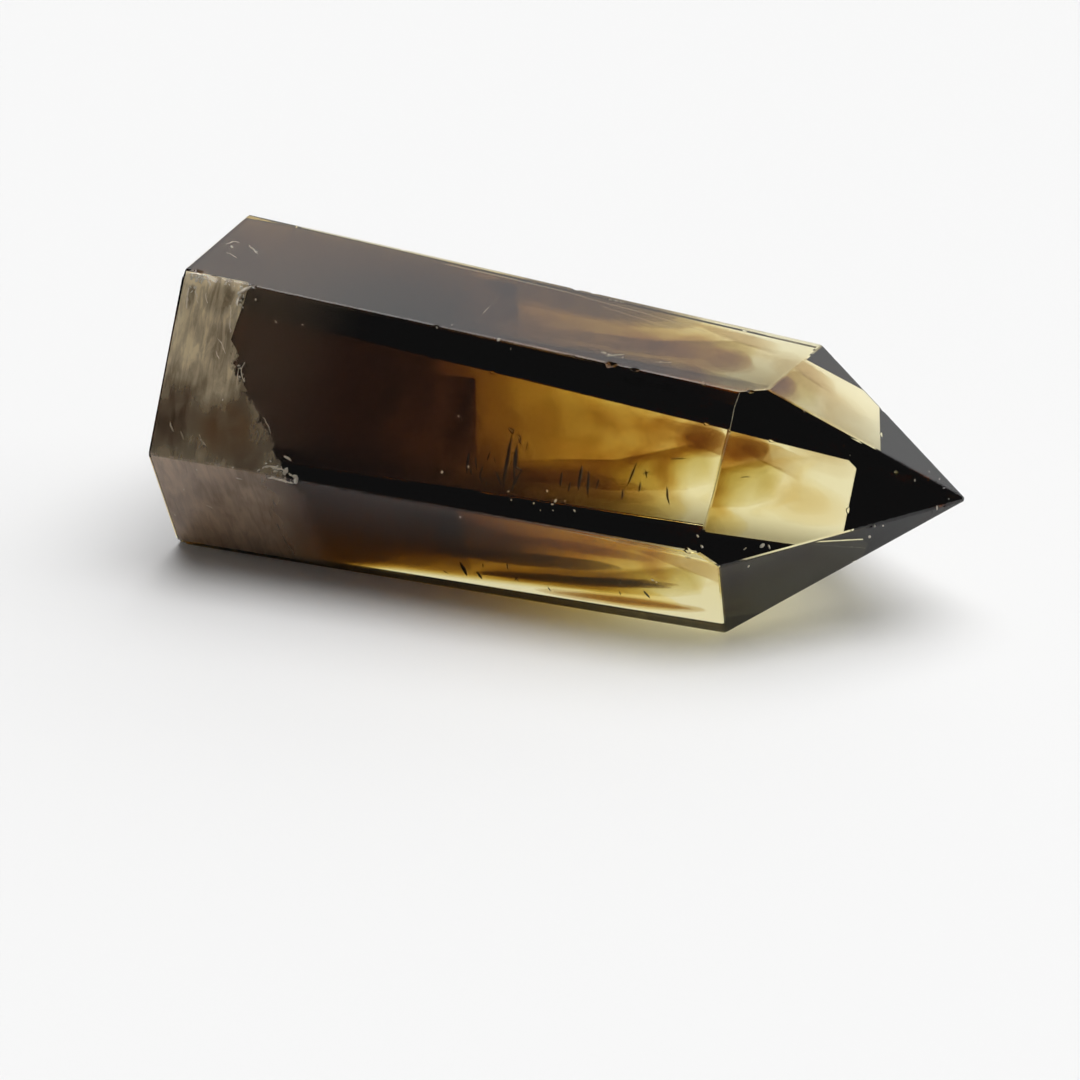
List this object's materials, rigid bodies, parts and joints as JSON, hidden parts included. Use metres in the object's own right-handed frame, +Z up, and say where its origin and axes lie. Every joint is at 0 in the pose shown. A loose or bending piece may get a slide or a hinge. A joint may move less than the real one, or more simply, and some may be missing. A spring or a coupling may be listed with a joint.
{
  "type": "citrine crystal point",
  "caption": "Polished hexagonal quartz point with a flat sawn base and a faceted tip, smoky at its base and citrine yellow toward the tip, lying on one of its long facets.",
  "frame": {"origin": "middle of the bounding box's footprint, on the plane that the crystal lies on", "axes": "+X along the crystal towards its tip, +Z up away from the facet that it lies on, +Y to the crystal's back"},
  "size_m": [0.092, 0.041, 0.0342],
  "materials": {
    "citrine": "polished clear quartz, smoky brown-black in its base half and citrine yellow towards the tip"
  },
  "bodies": {
    "root": {"crystal_point": "citrine"}
  },
  "joints": []
}
